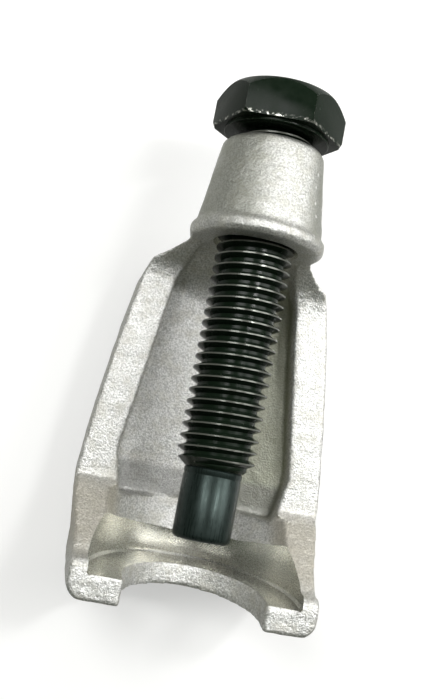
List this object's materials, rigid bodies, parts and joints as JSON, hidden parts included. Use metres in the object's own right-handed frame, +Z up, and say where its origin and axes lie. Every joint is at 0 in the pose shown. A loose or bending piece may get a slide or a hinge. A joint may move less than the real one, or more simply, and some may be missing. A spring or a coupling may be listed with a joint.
{
  "type": "arm puller",
  "caption": "Fork-type arm puller: forged C-shaped body with an open fork and a hexagon-headed forcing screw that presses on the joint's stud.",
  "frame": {"origin": "on the ground, under the middle of the tool as it lies on its back", "axes": "+Y along the screw from the fork to the hexagon head, +Z up out of the open side, +X across the fork"},
  "size_m": [0.0524, 0.1076, 0.042],
  "materials": {
    "zinc_plate": "zinc-plated forging, grainy, with a smoother machined seat",
    "black_oxide": "black oxide, oiled and glossy",
    "dark_steel": "dark turned steel, satin"
  },
  "bodies": {
    "body": {"puller_body": "zinc_plate"},
    "tip": {"thrust_tip": "dark_steel"},
    "screw": {"forcing_screw": "black_oxide"}
  },
  "joints": [
    {"name": "screw_advance", "type": "slide", "parent": "body", "child": "tip", "axis": [0, -1, 0], "range_m": [-0.06, 0.002]},
    {"name": "screw_turn", "type": "hinge", "parent": "tip", "child": "screw", "pos_m": [0, 0, 0.028], "axis": [0, -1, 0], "range_deg": [-9356, 312]}
  ],
  "couplings": [
    {"joint": "screw_turn", "follows": "screw_advance", "rad_per_m": 2721.2}
  ]
}
